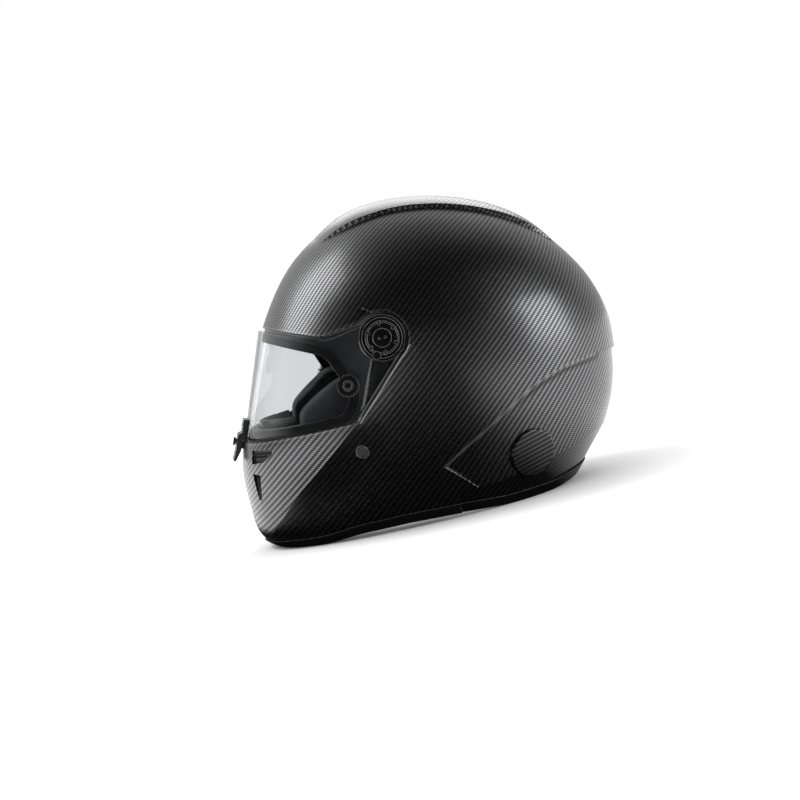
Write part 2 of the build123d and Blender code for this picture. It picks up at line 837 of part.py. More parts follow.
def lock_frame():
    """Plane of the lock button, on the knob's inner face."""
    angle = math.radians(lock_place_angle)
    x = lock_place_radius * math.cos(angle)
    y = lock_place_radius * math.sin(angle)
    return Plane((pivot_out.offset(ear_out + knob_gap) * Pos(x, y, 0)))


def make_lock_button():
    return post(lock_frame(), lock_radius, lock_floor + lock_travel + slip_gap, knob_thickness + lock_proud)


def make_hub_cap():
    """Screw cap that holds the knob on the hub, with two spanner holes."""
    base = pivot_out.offset(hub_top + slip_gap)
    cap = post(base, hub_cap_radius, 0, hub_cap_thickness)
    cap += post(base, hub_cap_shank_radius, -hub_cap_shank, 0)
    for y in (-spanner_hole_place, spanner_hole_place):
        hole = Plane(base * Pos(y, 0, 0))
        cap -= post(hole, spanner_hole_radius, hub_cap_thickness - spanner_hole_depth, reach)
    return biggest(cap)


def make_post():
    """Notched tear-off post that turns on the visor."""
    body = post(post_frame, post_radius, post_gap, post_gap + post_height)
    body += post(post_frame, post_shank_radius, -visor_sheet, post_gap)
    body -= post(post_frame, post_bore_radius, -visor_sheet, post_screw_length - visor_sheet)
    for k in range(post_notch_count):
        angle = 2 * math.pi * k / post_notch_count
        place = Plane(post_frame * Pos(post_radius * math.cos(angle), post_radius * math.sin(angle), 0))
        body -= post(place, post_notch_radius, -post_gap, 2 * post_height)
    top = post_gap + post_height
    mark = post(post_frame, post_slot_radius, top - post_slot_depth, 2 * top)
    mark -= post(post_frame, post_slot_radius - post_slot_width, 0, 3 * top)
    gap = Box(2 * post_slot_radius, post_slot_width, 2 * post_height)
    mark -= post_frame * Pos(-post_slot_radius, 0, top) * gap
    return biggest(body - mark)


def make_post_screw():
    """Screw that holds a tear-off post from inside the visor."""
    screw = post(post_frame, post_bore_radius, -visor_sheet, post_screw_length - visor_sheet)
    head = -visor_sheet - seat_gap
    screw += post(post_frame, post_screw_radius, head - post_screw_head, head)
    screw += post(post_frame, post_bore_radius, head, -visor_sheet)
    return biggest(screw)


def make_tab():
    """Opening tab fixed on the visor's lower front edge, hanging over the chin."""
    tip = (half_length + pivot_y + tab_tip_level * math.sin(tilt)) / math.cos(tilt)
    front = visor_front_reach
    points = [
        (front - tab_thin, tab_top), (front + tab_thin, tab_top), (front + tab_thin, tab_step),
        (front + tab_thick, tab_step - tab_tail_rise), (front + tab_thick, tab_low),
        (tip, tab_tip_level), (tip - tab_tail_thickness, tab_tip_level),
        (tab_back, tab_low), (tab_back, tab_back_level), (front - tab_thin, tab_back_level),
    ]
    face = make_face(Polyline(*points, close=True))
    tab = extrude(pivot_plane * face, amount=tab_half_width, both=True)
    sheet = visor_core(-slip_gap) & across(visor_face(slip_gap), pivot_plane)
    tab -= sheet
    tab -= post(tab_button_frame(), tab_button_neck_radius + seat_gap, -tab_button_depth - tab_button_travel, reach)
    for x in (-tab_screw_spread, tab_screw_spread):
        tab -= tab_screw(x, tab_screw_radius)
    return biggest(tab)


def tab_button_frame():
    return tab_point(0, visor_front_reach + tab_thick, tab_button_level)


def make_tab_button():
    """Release button: a round head on a neck that slides in the tab."""
    frame = tab_button_frame()
    neck = post(frame, tab_button_neck_radius, -tab_button_depth, tab_button_neck)
    head = post(frame, tab_button_head_radius, tab_button_neck, tab_button_neck + tab_button_head)
    return biggest(neck + head)


def tab_screw(x, radius):
    out = visor_front_reach - tab_screw_bite
    length = tab_screw_bite + tab_thin + tab_screw_proud
    return post(tab_point(x, out, tab_screw_level), radius, 0, length)


def make_tab_screws():
    return Part() + [tab_screw(x, tab_screw_radius) for x in (-tab_screw_spread, tab_screw_spread)]


def make_mesh(face):
    """Perforated plate set back in a chin vent."""
    frame = vent_frame.offset(-mesh_setback - mesh_thickness)
    plate = extrude(frame * grown(face, -seat_gap), amount=mesh_thickness)
    inner = grown(face, -mesh_rim - mesh_hole_radius)
    box = inner.bounding_box()
    row_step = mesh_pitch * math.sqrt(3) / 2
    holes = []
    for row in range(int(box.size.Y / row_step) + 1):
        for column in range(int(box.size.X / mesh_pitch) + 2):
            x = box.min.X + (column + (row % 2) / 2) * mesh_pitch
            y = box.min.Y + row * row_step
            if inner.face().is_inside(Vector(x, y, 0)):
                holes.append(post(Plane(frame * Pos(x, y, 0)), mesh_hole_radius, -mesh_thickness, 2 * mesh_thickness))
    return biggest(plate - holes)


def make_port_ring():
    ring = post(port_frame, port_ring_radius - seat_gap, -port_sink, port_ring_proud)
    return biggest(ring - post(port_frame, port_bore_radius, -overrun, overrun))


def make_port_plug():
    plug = post(port_frame, port_bore_radius - slip_gap, -port_sink, plug_proud)
    rim = plug.edges().sort_by(Axis((0, 0, 0), port_frame.z_dir))[-1]
    return biggest(chamfer(rim, plug_edge))


def make_anchor_cover():
    cover = post(anchor_frame, cover_radius, -cover_sink, cover_proud)
    rim = cover.edges().sort_by(Axis((0, 0, 0), anchor_frame.z_dir))[-1]
    return biggest(chamfer(rim, cover_edge))


def make_anchor_insert():
    insert = post(anchor_frame, insert_radius, -pad_depth, -cover_sink)
    return biggest(insert - post(anchor_frame, insert_bore_radius, -overrun, overrun))


def strap_wall_x(z):
    """Inner wall of the shell beside a strap."""
    return side_x(strap_y, z) - wall - strap_wall_gap


def strap_plane():
    return Plane(origin=(0, strap_y, 0), x_dir=(1, 0, 0), z_dir=(0, -1, 0))


def strap_strip(points, radii):
    """Flat strap along (x, z) places, with one bend radius for each inner place."""
    path = FilletPolyline(*points, radius=radii)
    side = offset(path, amount=strap_thickness / 2, side=Side.BOTH)
    return extrude(strap_plane() * make_face(side.edges()), amount=strap_width / 2, both=True)


def strap_top_points():
    half = strap_thickness / 2
    return [(strap_wall_x(z) - half, z) for z in (strap_top_level, strap_turn_level)]


def ring_centre():
    """Place of the strap's end loop, where the two rings hang."""
    return Pos(strap_left_end[0], 0, strap_left_end[1] - ring_slot_radius - loop_wall)


def make_left_strap():
    """Short strap with a sewn end loop for the two rings."""
    strap = strap_strip(strap_top_points() + [strap_left_end], [strap_bend_radius])
    across_rings = ring_spacing + 2 * (ring_slot_radius + loop_wall)
    outer = SlotOverall(across_rings, 2 * (ring_slot_radius + loop_wall))
    inner = SlotOverall(ring_spacing + 2 * ring_slot_radius, 2 * ring_slot_radius)
    loop_frame = strap_plane() * Pos(strap_left_end[0], ring_centre().position.Z)
    hole = extrude(loop_frame * inner, amount=strap_width, both=True)
    loop = extrude(loop_frame * outer, amount=strap_width / 2, both=True)
    return biggest((strap + loop - hole) - anchor_rivet(rivet_radius))


def make_ring(offset_x):
    """Flat steel D-ring hanging in the strap's end loop."""
    bar_low = ring_bar / 2
    outer_half = ring_half_width + ring_bar
    low = ring_drop + ring_bar
    outer = outline([(-outer_half, bar_low), (outer_half, bar_low), (outer_half, -low), (-outer_half, -low)],
                    [ring_bar / 2, ring_bar / 2, ring_corner_radius + ring_bar, ring_corner_radius + ring_bar])
    inner = outline([(-ring_half_width, -bar_low), (ring_half_width, -bar_low),
                     (ring_half_width, -ring_drop), (-ring_half_width, -ring_drop)],
                    [ring_bar / 3, ring_bar / 3, ring_corner_radius, ring_corner_radius])
    centre = ring_centre().position
    place = Plane(origin=(centre.X + offset_x, strap_y, centre.Z), x_dir=(0, 1, 0), z_dir=(1, 0, 0))
    return biggest(extrude(place * (outer - inner), amount=ring_thickness / 2, both=True))


def strap_return():
    """Step sideways from the long strap's outer layer to its folded layer."""
    down = Vector(*strap_right_end) - Vector(*strap_top_points()[-1])
    return Vector(down.Y, -down.X).normalized() * strap_return_gap


def fold_place(share):
    """Place on the long strap's straight part, as a share of it from the fold."""
    return Vector(*strap_right_end) * (1 - share) + Vector(*strap_top_points()[-1]) * share


def snap_frame():
    """Plane between the strap's two layers, z axis towards the folded layer."""
    side = strap_return().normalized()
    place = fold_place(strap_return_share * snap_place_share) + strap_return() / 2
    return Plane(origin=(place.X, strap_y, place.Y), x_dir=(0, 1, 0), z_dir=(side.X, 0, side.Y))


def snap_reach():
    """Distance from between the layers to a layer's far face."""
    return strap_return_gap / 2 + strap_thickness / 2 + slip_gap


def make_snap():
    """Snap fastener through both layers of the folded strap."""
    frame = snap_frame()
    snap = post(frame, snap_shank_radius, -snap_reach(), snap_reach())
    snap += post(frame, snap_radius, snap_reach(), snap_reach() + snap_height)
    snap += post(frame, snap_back_radius, -snap_reach() - snap_height / 2, -snap_reach())
    return biggest(snap)


def make_right_strap():
    """Long strap folded back on itself and held by a snap, modelled on the left and mirrored."""
    step = strap_return()
    turn = (strap_right_end[0] + step.X, strap_right_end[1] + step.Y)
    back = fold_place(strap_return_share) + step
    half = strap_return_gap / 2
    radii = [strap_bend_radius, half - strap_thickness / 4, half - strap_thickness / 4]
    strap = strap_strip(strap_top_points() + [strap_right_end, turn, (back.X, back.Y)], radii)
    strap -= post(snap_frame(), snap_shank_radius + slip_gap, -reach, reach)
    return biggest(strap - anchor_rivet(rivet_radius))


def anchor_rivet(radius):
    """Shank of a strap rivet, from the shell's wall to the anchor plate's inner face."""
    inner = strap_wall_gap + strap_thickness + 2 * strap_wall_gap + anchor_plate
    return post(anchor_screw_frame(), radius, -inner, rivet_bite)


def make_anchor_plate():
    """Steel plate that clamps a strap to the shell's side."""
    frame = anchor_screw_frame()
    back = strap_wall_gap + strap_thickness + 2 * strap_wall_gap
    face = Rectangle(2 * anchor_plate_half, 2 * anchor_plate_half)
    plate = extrude(frame.offset(-back - anchor_plate) * face, amount=anchor_plate)
    return biggest(plate - anchor_rivet(rivet_radius))


def make_rivet():
    inner = strap_wall_gap + strap_thickness + 2 * strap_wall_gap + anchor_plate
    head = post(anchor_screw_frame(), rivet_head_radius, -inner - rivet_head, -inner)
    return biggest(anchor_rivet(rivet_radius) + head)


hub_length = knob_thickness - hub_cap_thickness - slip_gap
hub_top = ear_out + knob_gap + hub_length

room = hollow(-wall - layer_gap)
for pad in both_sides(post(anchor_frame, pad_radius + layer_gap, -pad_depth - layer_gap, pad_depth)):
    room -= pad
port_clear = across(port_face(gasket_outside + pad_gap), pivot_plane)
port_clear -= visor_core(visor_sheet + visor_seat_gap + wall + gasket_lip + pad_gap)
room = biggest(room - port_clear)

write("outer_shell", make_shell())
write("eps_liner", make_liner(room))
crown_pad, side_lining = make_lining()
write("crown_pad", crown_pad)
write("side_lining", side_lining)
write_pair("cheek_pad", make_cheek_pad(room))
write("chin_liner", make_chin_liner(room))
write("breath_guard", make_breath_guard())
write("neck_roll", make_neck_roll(room))
write("base_trim", make_trim())
write("eye_port_seal", make_gasket())
write("visor", make_visor())
write_pair("pivot_base", make_pivot_base())
write_pair("pivot_knob", make_knob())
write_pair("lock_button", make_lock_button())
write_pair("hub_cap", make_hub_cap())
write_pair("tear_off_post", make_post())
write_pair("post_screw", make_post_screw())
write("visor_tab", make_tab())
write("tab_button", make_tab_button())
write("tab_screws", make_tab_screws())
write("latch_strike", biggest(strike_block(-slip_gap)))
write_pair("chin_vent_mesh", make_mesh(vent_face))
write_pair("chin_slot_mesh", make_mesh(slot_face))
write_pair("port_ring", make_port_ring())
write_pair("port_plug", make_port_plug())
write_pair("anchor_cover", make_anchor_cover())
write_pair("anchor_insert", make_anchor_insert())
write("strap_left", make_left_strap())
write("strap_right", mirror(make_right_strap(), about=Plane.YZ))
write("strap_snap", mirror(make_snap(), about=Plane.YZ))
write_pair("strap_plate", make_anchor_plate())
write_pair("strap_rivet", make_rivet())
write("ring_inner", make_ring(-ring_spacing / 2))
write("ring_outer", make_ring(ring_spacing / 2))
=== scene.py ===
import math

import bpy
from mathutils import Matrix, Vector


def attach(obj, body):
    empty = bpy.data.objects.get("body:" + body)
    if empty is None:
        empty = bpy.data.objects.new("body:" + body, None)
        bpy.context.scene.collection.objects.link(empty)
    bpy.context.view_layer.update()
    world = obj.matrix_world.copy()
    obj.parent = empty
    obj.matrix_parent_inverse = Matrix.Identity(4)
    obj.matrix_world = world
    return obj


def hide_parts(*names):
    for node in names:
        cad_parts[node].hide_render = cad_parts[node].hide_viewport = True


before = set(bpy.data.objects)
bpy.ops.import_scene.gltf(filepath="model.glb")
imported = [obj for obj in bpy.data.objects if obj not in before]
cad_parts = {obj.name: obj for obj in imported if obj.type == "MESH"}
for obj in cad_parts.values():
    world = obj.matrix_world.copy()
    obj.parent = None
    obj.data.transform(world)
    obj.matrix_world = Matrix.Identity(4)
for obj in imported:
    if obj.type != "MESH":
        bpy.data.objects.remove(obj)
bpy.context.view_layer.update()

MM = 0.001

# Sizes that the pieces follow, in metres
CENTRE = Vector((0.0, 0.008, 0.125))
PIVOT = Vector((0.0, -0.0335, 0.1588))
FORWARD = Vector((0.0, -0.93358, 0.35837))
TOW = 1.33 * MM
# Side-view places of lines on the shell, in millimetres: rear panel, its toe, and the crease of the chin
PANEL_EDGE = [(-6.0, 44.5), (12.0, 55.5), (31.0, 65.5), (62.0, 83.0), (84.0, 94.0), (108.0, 100.5),
              (140.0, 103.0)]
PANEL_TOE = [(-6.0, 44.5), (20.0, 20.0)]
CHIN_CREASE = [(-72.0, 93.0), (-124.4, 48.2), (-152.0, 17.0)]
# Half widths and offsets of the painted highlight and painted shadow lines, in millimetres, and the greys
# that they take
EDGE_HALF = 2.0
SHADE_OFFSET = 3.2
RIM_OFFSET = 1.2
RIM_HALF = 0.8
PAINTED_HIGHLIGHT_GREY = (0.75, 0.75, 0.76, 1)
SHADE_GREY = (0.008, 0.008, 0.008, 1)
# Plain seat under the visor: drawn without weave, in a lighter grey that is a painted reflection of the visor
# over it
PLAIN_SEAT_AND_REFLECTION_GREY = (0.075, 0.075, 0.078, 1)
# Crease of the chin: how far it reaches and how steep it is at its line
CREASE_REACH = 32.0 * MM
CREASE_SLOPE = 0.22
# Corners of the visor's seat, ahead of and above the pivot in millimetres
SEAT_TOP_REAR = (-17.2, -4.5)
SEAT_LOW_REAR = (10.5, -67.5)
SEAT_LOW_FRONT = (97.0, -103.2)
SEAT_TOP_FRONT = (97.0, -10.8)
SEAT_BROW = (46.0, -9.8)
SEAT_EAR_TOP = (15.0, 8.0)
SEAT_EAR_RADIUS = 21.0 * MM
SEAT_MARGIN = 3.0


def place_camera():
    """Camera at the photograph's viewing angle, with its roll."""
    azimuth, elevation, roll = math.radians(85.0), math.radians(4.5), math.radians(13.0)
    distance, metres_per_pixel = 2.0, 0.845 * MM
    ground, ground_pixel = Vector((0.020, -0.1424, 0.0)), (288.0, 546.5)
    back = Vector((math.sin(azimuth) * math.cos(elevation),
                   -math.cos(azimuth) * math.cos(elevation), math.sin(elevation)))
    right = Vector((0, 0, 1)).cross(back).normalized()
    up = back.cross(right)
    turned_right = right * math.cos(roll) - up * math.sin(roll)
    turned_up = up * math.cos(roll) + right * math.sin(roll)
    middle = ground + (turned_right * (400.0 - ground_pixel[0])
                       + turned_up * (ground_pixel[1] - 400.0)) * metres_per_pixel
    data = bpy.data.cameras.new("camera")
    data.sensor_width = 36.0
    data.lens = 36.0 * distance / (800 * metres_per_pixel)
    camera = bpy.data.objects.new("camera", data)
    bpy.context.scene.collection.objects.link(camera)
    axes = Matrix((turned_right, turned_up, back)).transposed().to_4x4()
    camera.matrix_world = Matrix.Translation(middle + back * distance) @ axes
    bpy.context.scene.camera = camera


place_camera()


class Nodes:
    """Short way to write a node tree."""

    def __init__(self, tree):
        self.tree = tree

    def add(self, kind, **settings):
        node = self.tree.nodes.new(kind)
        for key, value in settings.items():
            setattr(node, key, value)
        return node

    def link(self, source, target):
        self.tree.links.new(source, target)

    def put(self, value, socket):
        if hasattr(value, "is_linked") or hasattr(value, "links"):
            self.link(value, socket)
        else:
            socket.default_value = value

    def math(self, operation, a, b=0.0, c=0.0, clamp=False):
        node = self.add("ShaderNodeMath", operation=operation, use_clamp=clamp)
        for value, socket in zip((a, b, c), node.inputs):
            self.put(value, socket)
        return node.outputs[0]

    def vector(self, operation, a, b=(0, 0, 0)):
        node = self.add("ShaderNodeVectorMath", operation=operation)
        self.put(a, node.inputs[0])
        self.put(b, node.inputs[1])
        return node.outputs["Value" if operation in ("DOT_PRODUCT", "LENGTH") else "Vector"]

    def separate(self, vector):
        node = self.add("ShaderNodeSeparateXYZ")
        self.link(vector, node.inputs[0])
        return node.outputs

    def mix(self, factor, a, b):
        node = self.add("ShaderNodeMix", data_type="RGBA")
        self.put(factor, node.inputs[0])
        self.put(a, node.inputs[6])
        self.put(b, node.inputs[7])
        return node.outputs[2]

    def blend(self, factor, a, b):
        node = self.add("ShaderNodeMix", data_type="FLOAT")
        self.put(factor, node.inputs[0])
        self.put(a, node.inputs[2])
        self.put(b, node.inputs[3])
        return node.outputs[0]

    def noise(self, vector, scale, detail=2.0, rough=0.5):
        node = self.add("ShaderNodeTexNoise")
        self.put(vector, node.inputs["Vector"])
        node.inputs["Scale"].default_value = scale
        node.inputs["Detail"].default_value = detail
        node.inputs["Roughness"].default_value = rough
        return node.outputs[0]

    def spread(self, value, low, high, to_low, to_high):
        node = self.add("ShaderNodeMapRange")
        self.put(value, node.inputs[0])
        for number, socket in zip((low, high, to_low, to_high), node.inputs[1:5]):
            socket.default_value = number
        return node.outputs[0]

    def bump(self, height, distance, strength=1.0, normal=None):
        node = self.add("ShaderNodeBump")
        node.inputs["Distance"].default_value = distance
        node.inputs["Strength"].default_value = strength
        self.link(height, node.inputs["Height"])
        if normal is not None:
            self.link(normal, node.inputs["Normal"])
        return node.outputs[0]


def material(name, colour=(0.05, 0.05, 0.05), rough=0.5, metal=0.0, specular=0.5, coat=0.0, coat_rough=0.05):
    """New material with a principled shader; returns it with its nodes, shader and object coordinates."""
    mat = bpy.data.materials.new(name)
    mat.use_nodes = True
    n = Nodes(mat.node_tree)
    shader = mat.node_tree.nodes["Principled BSDF"]
    shader.inputs["Base Color"].default_value = (*colour, 1.0)
    shader.inputs["Roughness"].default_value = rough
    shader.inputs["Metallic"].default_value = metal
    shader.inputs["Specular IOR Level"].default_value = specular
    shader.inputs["Coat Weight"].default_value = coat
    shader.inputs["Coat Roughness"].default_value = coat_rough
    place = n.add("ShaderNodeTexCoord").outputs["Object"]
    return mat, n, shader, place


def twill(n, a, b):
    """2 by 2 twill: which tow family is on top, and the height across it, from places counted in tows."""
    step = n.math("FLOORED_MODULO", n.math("SUBTRACT", n.math("FLOOR", a), n.math("FLOOR", b)), 4.0)
    over = n.math("LESS_THAN", step, 1.5)
    bow_a = n.math("PINGPONG", a, 0.5)
    bow_b = n.math("PINGPONG", b, 0.5)
    height = n.blend(over, n.math("SMOOTH_MIN", bow_a, 0.35, 0.2), n.math("SMOOTH_MIN", bow_b, 0.35, 0.2))
    return over, height


def turned(n, x, y, degrees, scale):
    """Two places turned by an angle and divided by a scale."""
    c, s = math.cos(math.radians(degrees)) / scale, math.sin(math.radians(degrees)) / scale
    a = n.math("ADD", n.math("MULTIPLY", x, c), n.math("MULTIPLY", y, s))
    b = n.math("SUBTRACT", n.math("MULTIPLY", y, c), n.math("MULTIPLY", x, s))
    return a, b


def side_cloth(n, place):
    """Places on a cloth draped over the helmet from its side, in metres: rearward and up."""
    from_centre = n.vector("SUBTRACT", place, tuple(CENTRE))
    x, y, z = n.separate(from_centre)
    out = n.math("ABSOLUTE", x)
    # The real form is longer than wide, so it is brought near a ball first
    y = n.math("DIVIDE", y, 1.32)
    z = n.math("DIVIDE", z, 1.12)
    around = n.math("SQRT", n.math("ADD", n.math("MULTIPLY", y, y), n.math("MULTIPLY", z, z)))
    angle = n.math("ARCTAN2", around, out)
    reach = n.math("MULTIPLY", n.math("SINE", n.math("MULTIPLY", angle, 0.62)), 0.124 / 0.62)
    share = n.math("DIVIDE", reach, n.math("MAXIMUM", around, 0.0005))
    return (n.math("MULTIPLY", n.math("MULTIPLY", y, share), 1.32),
            n.math("MULTIPLY", n.math("MULTIPLY", z, share), 1.12))


def visor_seat(n, place):
    """Distance inside the edge of the plain seat under the visor, by side view, and inside its rear line."""
    _, y, z = n.separate(n.vector("SUBTRACT", place, tuple(PIVOT)))
    ahead, above = n.math("MULTIPLY", y, FORWARD.y), n.math("MULTIPLY", y, FORWARD.z)
    ahead = n.math("ADD", ahead, n.math("MULTIPLY", z, FORWARD.z))
    above = n.math("SUBTRACT", above, n.math("MULTIPLY", z, FORWARD.y))

    def inside(start, end):
        """Distance of a place to the left of a line moved out by the margin."""
        way = (Vector(end) - Vector(start)).normalized()
        side = n.math("SUBTRACT", n.math("MULTIPLY", above, way.x), n.math("MULTIPLY", ahead, way.y))
        start_side = (start[1] * way.x - start[0] * way.y - SEAT_MARGIN) * MM
        return n.math("SUBTRACT", side, start_side)

    rear = inside(SEAT_TOP_REAR, SEAT_LOW_REAR)
    low = inside(SEAT_LOW_REAR, SEAT_LOW_FRONT)
    high = n.math("MAXIMUM", inside(SEAT_BROW, SEAT_EAR_TOP), inside(SEAT_TOP_FRONT, SEAT_BROW))
    reach = n.math("SQRT", n.math("ADD", n.math("MULTIPLY", ahead, ahead), n.math("MULTIPLY", above, above)))
    ear = n.math("SUBTRACT", SEAT_EAR_RADIUS, reach)
    top = inside(SEAT_EAR_TOP, SEAT_TOP_REAR)
    body = n.math("MINIMUM", n.math("MINIMUM", rear, low), n.math("MINIMUM", high, top))
    return n.math("MAXIMUM", ear, body), rear


def line(n, distance, offset, half_width):
    """One on a line beside an edge, falling to nought at its half width."""
    away = n.math("ABSOLUTE", n.math("SUBTRACT", distance, offset * MM))
    return n.spread(away, 0.0, half_width * MM, 1.0, 0.0)


def route_side(n, y, z, points):
    """Distance to a route of side-view places, without and with its side: above is more than nought."""
    nearest, side = None, None
    for low, high in zip(points, points[1:]):
        start, way = Vector(low) * MM, (Vector(high) - Vector(low)) * MM
        from_y, from_z = n.math("SUBTRACT", y, start.x), n.math("SUBTRACT", z, start.y)
        along = n.math("ADD", n.math("MULTIPLY", from_y, way.x / way.length_squared),
                       n.math("MULTIPLY", from_z, way.y / way.length_squared), clamp=True)
        off_y = n.math("SUBTRACT", from_y, n.math("MULTIPLY", along, way.x))
        off_z = n.math("SUBTRACT", from_z, n.math("MULTIPLY", along, way.y))
        square = n.math("ADD", n.math("MULTIPLY", off_y, off_y), n.math("MULTIPLY", off_z, off_z))
        away = n.math("SQRT", square)
        turn = n.math("SUBTRACT", n.math("MULTIPLY", off_z, way.x), n.math("MULTIPLY", off_y, way.y))
        sided = n.math("MULTIPLY", away, n.math("SIGN", turn))
        if nearest is None:
            nearest, side = away, sided
        else:
            side = n.blend(n.math("LESS_THAN", away, nearest), side, sided)
            nearest = n.math("MINIMUM", nearest, away)
    return nearest, side


def form_lines(n, place):
    """Distance inside the seat, painted highlight and painted shadow of the lines on the shell, and height of
    the chin crease.
    """
    _, y, z = n.separate(place)
    edge, edge_side = route_side(n, y, z, PANEL_EDGE)
    rearward = n.spread(y, 45.0 * MM, 75.0 * MM, 0.0, 1.0)
    edge_light = n.math("MULTIPLY", line(n, edge, 0.0, EDGE_HALF), n.spread(rearward, 0.0, 1.0, 0.25, 0.08))
    toe, _ = route_side(n, y, z, PANEL_TOE)
    toe_light = n.math("MULTIPLY", line(n, toe, 0.0, EDGE_HALF), n.spread(z, 28.0 * MM, 42.0 * MM, 0.0, 0.25))
    # Painted shadow: a dark line just under the rear panel's upper edge, toward the rear
    dark = n.math("MULTIPLY", line(n, edge_side, -SHADE_OFFSET, SHADE_OFFSET), rearward)
    seat, seat_rear = visor_seat(n, place)
    rim = n.math("MAXIMUM", line(n, seat, -RIM_OFFSET, RIM_HALF), line(n, seat, RIM_OFFSET, RIM_HALF))
    at_rear = n.math("LESS_THAN", n.math("SUBTRACT", seat_rear, seat), 0.1 * MM)
    rim_light = n.math("MULTIPLY", rim, n.blend(at_rear, 0.14, 0.8))
    # Painted highlight along the rear panel's edge and toe and on both sides of the seat's rim, brightest at
    # the seat's rear
    light = n.math("MAXIMUM", n.math("MAXIMUM", edge_light, toe_light), rim_light)
    crease, _ = route_side(n, y, z, CHIN_CREASE)
    reach = n.math("MINIMUM", crease, CREASE_REACH)
    curve = n.math("MULTIPLY", n.math("MULTIPLY", reach, reach), 0.5 / CREASE_REACH)
    return seat, light, dark, n.math("MULTIPLY", n.math("SUBTRACT", reach, curve), -CREASE_SLOPE)


def carbon(name, angle=-5.0, disc=None):
    """Satin twill carbon. A disc has its own flat cloth, along and up its face, turned by its own angle."""
    mat, n, shader, place = material(name, metal=1.0, coat=0.5, coat_rough=0.22)
    if disc:
        u, v = (n.vector("DOT_PRODUCT", place, way) for way in disc)
    else:
        u, v = side_cloth(n, place)
    a, b = turned(n, u, v, angle, TOW)
    over, height = twill(n, a, b)
    patches = n.noise(place, 26.0, 2.0)
    dark = n.mix(patches, (0.030, 0.030, 0.031, 1), (0.042, 0.042, 0.044, 1))
    light = n.mix(patches, (0.190, 0.190, 0.195, 1), (0.250, 0.250, 0.256, 1))
    colour = n.mix(over, dark, light)
    edge = n.spread(height, 0.0, 0.22, 0.0, 1.0)
    colour = n.mix(edge, (0.006, 0.006, 0.006, 1), colour)
    rough = n.blend(over, 0.50, 0.38)
    bevel = n.add("ShaderNodeBevel", samples=6)
    bevel.inputs["Radius"].default_value = 0.9 * MM
    normal = bevel.outputs[0]
    if not disc:
        seat, painted_highlight, shade, crease = form_lines(n, place)
        plain = n.math("GREATER_THAN", seat, 0.0)
        # The seat under the visor is plain, without weave, and its lighter grey is a painted reflection of
        # the visor over it
        colour = n.mix(plain, colour, PLAIN_SEAT_AND_REFLECTION_GREY)
        # Painted shadow: the dark line under the rear panel's upper edge
        colour = n.mix(n.math("MULTIPLY", shade, 0.8), colour, SHADE_GREY)
        # Painted highlight: light grey lines along the rear panel's edge and toe and the rim of the visor's
        # seat
        colour = n.mix(painted_highlight, colour, PAINTED_HIGHLIGHT_GREY)
        rough = n.blend(plain, rough, 0.36)
        height = n.math("MULTIPLY", n.math("SUBTRACT", 1.0, plain), height)
        # Metal is taken off along the painted highlight lines, so that they show as lit grey
        n.link(n.math("SUBTRACT", 1.0, painted_highlight), shader.inputs["Metallic"])
        normal = n.bump(crease, 1.0, 1.0, normal)
    n.link(colour, shader.inputs["Base Color"])
    n.link(rough, shader.inputs["Roughness"])
    n.link(n.bump(height, 0.06 * MM, 0.5, normal), shader.inputs["Normal"])
    return mat


def plastic(name, colour, rough, bump_size=0.0, bump_scale=900.0, specular=0.5, coat=0.0,
            edge=0.5 * MM, edge_highlight=0.0):
    """Moulded plastic, rubber or metal with slight unevenness and soft edges, with a painted highlight on its
    rounded edges.
    """
    mat, n, shader, place = material(name, colour, rough, specular=specular, coat=coat)
    uneven = n.noise(place, 60.0, 3.0)
    n.link(n.spread(uneven, 0.3, 0.7, max(rough - 0.05, 0.02), rough + 0.06), shader.inputs["Roughness"])
    darker = tuple(c * 0.82 for c in colour)
    bevel = n.add("ShaderNodeBevel", samples=4)
    bevel.inputs["Radius"].default_value = edge
    normal = bevel.outputs[0]
    tint = n.mix(uneven, (*darker, 1), (*colour, 1))
    # Painted highlight: rounded edges are made lighter, to show the knob's rings and the trim's upper line
    if edge_highlight:
        flat = n.add("ShaderNodeNewGeometry").outputs["Normal"]
        rounded = n.spread(n.vector("DOT_PRODUCT", normal, flat), 0.99, 0.80, 0.0, 1.0)
        tint = n.mix(rounded, tint, (edge_highlight, edge_highlight, edge_highlight, 1))
    n.link(tint, shader.inputs["Base Color"])
    if bump_size:
        normal = n.bump(n.noise(place, bump_scale, 1.0), bump_size, 0.6, normal)
    n.link(normal, shader.inputs["Normal"])
    return mat


def clear_sheet():
    """Clear hard-coated polycarbonate."""
    mat, n, shader, place = material("clear_polycarbonate", rough=0.0, coat=0.7, coat_rough=0.03)
    shader.inputs["Transmission Weight"].default_value = 1.0
    shader.inputs["IOR"].default_value = 1.08
    haze = n.noise(place, 9.0, 2.0)
    n.link(n.mix(haze, (0.84, 0.85, 0.86, 1), (0.89, 0.90, 0.91, 1)), shader.inputs["Base Color"])
    rays = n.add("ShaderNodeLightPath")
    see = n.add("ShaderNodeBsdfTransparent")
    see.inputs[0].default_value = (0.93, 0.94, 0.94, 1)
    mix = n.add("ShaderNodeMixShader")
    n.link(n.math("MAXIMUM", rays.outputs["Is Shadow Ray"], rays.outputs["Is Diffuse Ray"]), mix.inputs[0])
    n.link(shader.outputs[0], mix.inputs[1])
    n.link(see.outputs[0], mix.inputs[2])
    n.link(mix.outputs[0], mat.node_tree.nodes["Material Output"].inputs["Surface"])
    return mat


